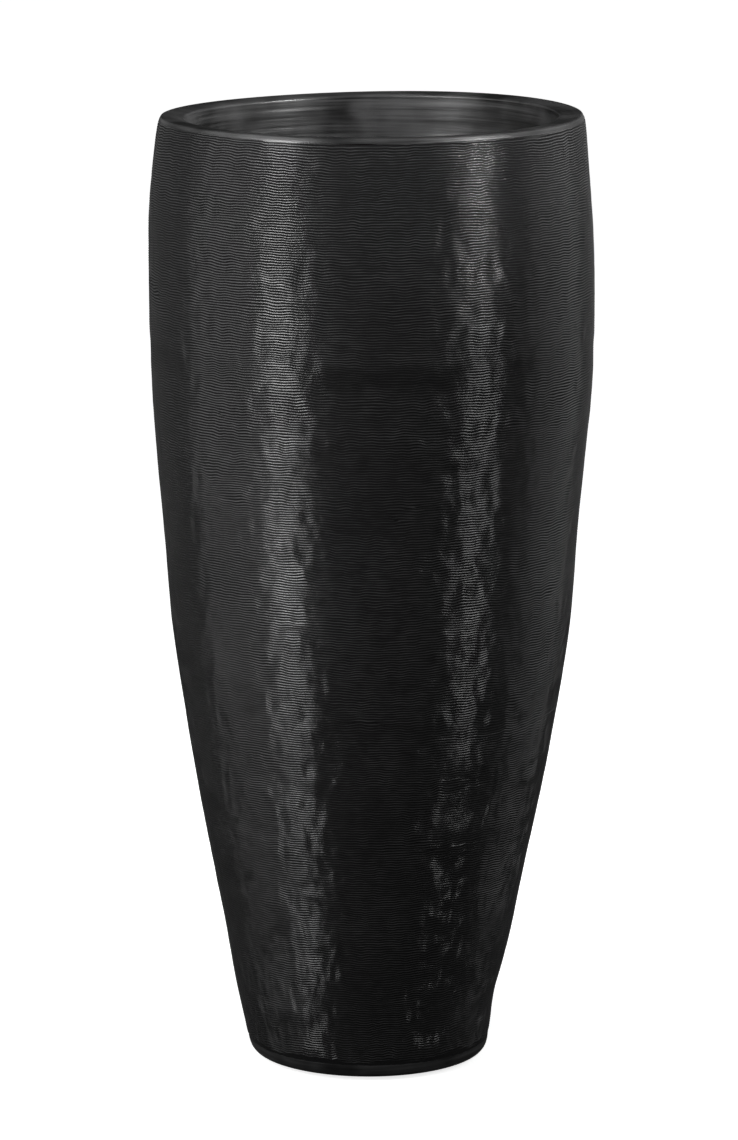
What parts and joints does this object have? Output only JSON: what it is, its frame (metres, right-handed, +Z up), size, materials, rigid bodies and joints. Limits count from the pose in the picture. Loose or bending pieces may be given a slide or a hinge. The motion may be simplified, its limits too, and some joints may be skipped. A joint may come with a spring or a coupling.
{
  "type": "tall planter",
  "caption": "Tall round planter with a flared combed shell, rolled rim, bonded floor, lift-out shelf and a liner pot with folding handles.",
  "frame": {"origin": "centre of the circle that the planter stands on, at ground level", "axes": "+Z up along the planter's axis; -Y is the front that the picture shows; the two liner handles fold down to -X and +X"},
  "size_m": [0.4146, 0.4146, 0.9],
  "materials": {
    "combed_coat": "satin near-black coat over fibreglass, hand-combed into fine level ridges",
    "raw_laminate": "bare glass fibre laminate with the chopped strands showing",
    "resin": "cured resin, smoothed with a finger",
    "rubber": "matt black moulded rubber",
    "shelf_board": "dark grey moulded board, lightly grained",
    "liner_plastic": "black injection-moulded plastic, fine matt grain",
    "handle_plastic": "black moulded plastic, smooth"
  },
  "bodies": {
    "root": {"outer_shell": "combed_coat", "lip_ring": "combed_coat", "floor_disc": "raw_laminate", "floor_fillet": "resin", "foot_pad_1": "rubber", "foot_pad_2": "rubber", "foot_pad_3": "rubber", "foot_pad_4": "rubber", "shelf_bracket_1": "raw_laminate", "shelf_bracket_2": "raw_laminate", "shelf_bracket_3": "raw_laminate"},
    "plug": {"drain_plug": "rubber"},
    "shelf": {"planting_shelf": "shelf_board"},
    "liner": {"liner_pot": "liner_plastic", "liner_collar": "liner_plastic"},
    "handle_left": {"liner_handle_left": "handle_plastic"},
    "handle_right": {"liner_handle_right": "handle_plastic"}
  },
  "joints": [
    {"name": "plug_lift", "type": "slide", "parent": "root", "child": "plug", "axis": [0, 0, 1], "range_m": [0, 0.06]},
    {"name": "shelf_lift", "type": "slide", "parent": "root", "child": "shelf", "axis": [0, 0, 1], "range_m": [0, 0.46]},
    {"name": "liner_lift", "type": "slide", "parent": "shelf", "child": "liner", "axis": [0, 0, 1], "range_m": [0, 0.45]},
    {"name": "handle_left_fold", "type": "hinge", "parent": "liner", "child": "handle_left", "pos_m": [-0.016, 0, 0.8288], "axis": [0, 1, 0], "range_deg": [0, 90]},
    {"name": "handle_right_fold", "type": "hinge", "parent": "liner", "child": "handle_right", "pos_m": [0.016, 0, 0.8288], "axis": [0, -1, 0], "range_deg": [0, 90]}
  ]
}
